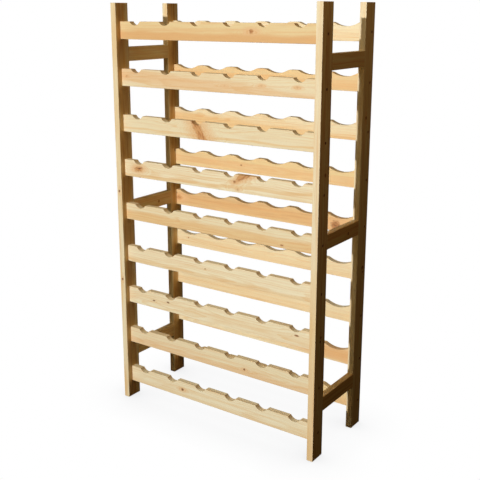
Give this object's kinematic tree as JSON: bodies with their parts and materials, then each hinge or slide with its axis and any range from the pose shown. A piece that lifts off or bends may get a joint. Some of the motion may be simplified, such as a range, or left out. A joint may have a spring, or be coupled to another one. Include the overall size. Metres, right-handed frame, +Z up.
{
  "type": "wine rack",
  "caption": "Free-standing pine wine rack: ladder side frames joined by notched front rails and scalloped back rails that cradle bottles lying flat.",
  "frame": {"origin": "on the floor, at the middle of the rack's footprint", "axes": "+X across the rack to its right side, +Y to its back, +Z up; bottles lie along Y with their necks to -Y"},
  "size_m": [0.67, 0.27, 1.18],
  "materials": {
    "pine_post": "planed pine, clear satin",
    "pine_side_rail": "planed pine, clear satin",
    "pine_front_rail": "planed pine, clear satin",
    "pine_back_rail": "planed pine, clear satin",
    "beech_dowel": "plain turned beech",
    "screw_steel": "dark bronzed, rubbed brighter on its edges"
  },
  "bodies": {
    "root": {"post_front_left": "pine_post", "screws_front_left": "screw_steel", "post_back_left": "pine_post", "screws_back_left": "screw_steel", "side_rail_lower_left": "pine_side_rail", "side_rail_middle_left": "pine_side_rail", "side_rail_upper_left": "pine_side_rail", "dowels_left": "beech_dowel", "post_front_right": "pine_post", "screws_front_right": "screw_steel", "post_back_right": "pine_post", "screws_back_right": "screw_steel", "side_rail_lower_right": "pine_side_rail", "side_rail_middle_right": "pine_side_rail", "side_rail_upper_right": "pine_side_rail", "dowels_right": "beech_dowel", "front_rail_1": "pine_front_rail", "front_rail_2": "pine_front_rail", "front_rail_3": "pine_front_rail", "front_rail_4": "pine_front_rail", "front_rail_5": "pine_front_rail", "front_rail_6": "pine_front_rail", "front_rail_7": "pine_front_rail", "front_rail_8": "pine_front_rail", "front_rail_9": "pine_front_rail", "back_rail_1": "pine_back_rail", "back_rail_2": "pine_back_rail", "back_rail_3": "pine_back_rail", "back_rail_4": "pine_back_rail", "back_rail_5": "pine_back_rail", "back_rail_6": "pine_back_rail", "back_rail_7": "pine_back_rail", "back_rail_8": "pine_back_rail", "back_rail_9": "pine_back_rail"}
  },
  "joints": []
}
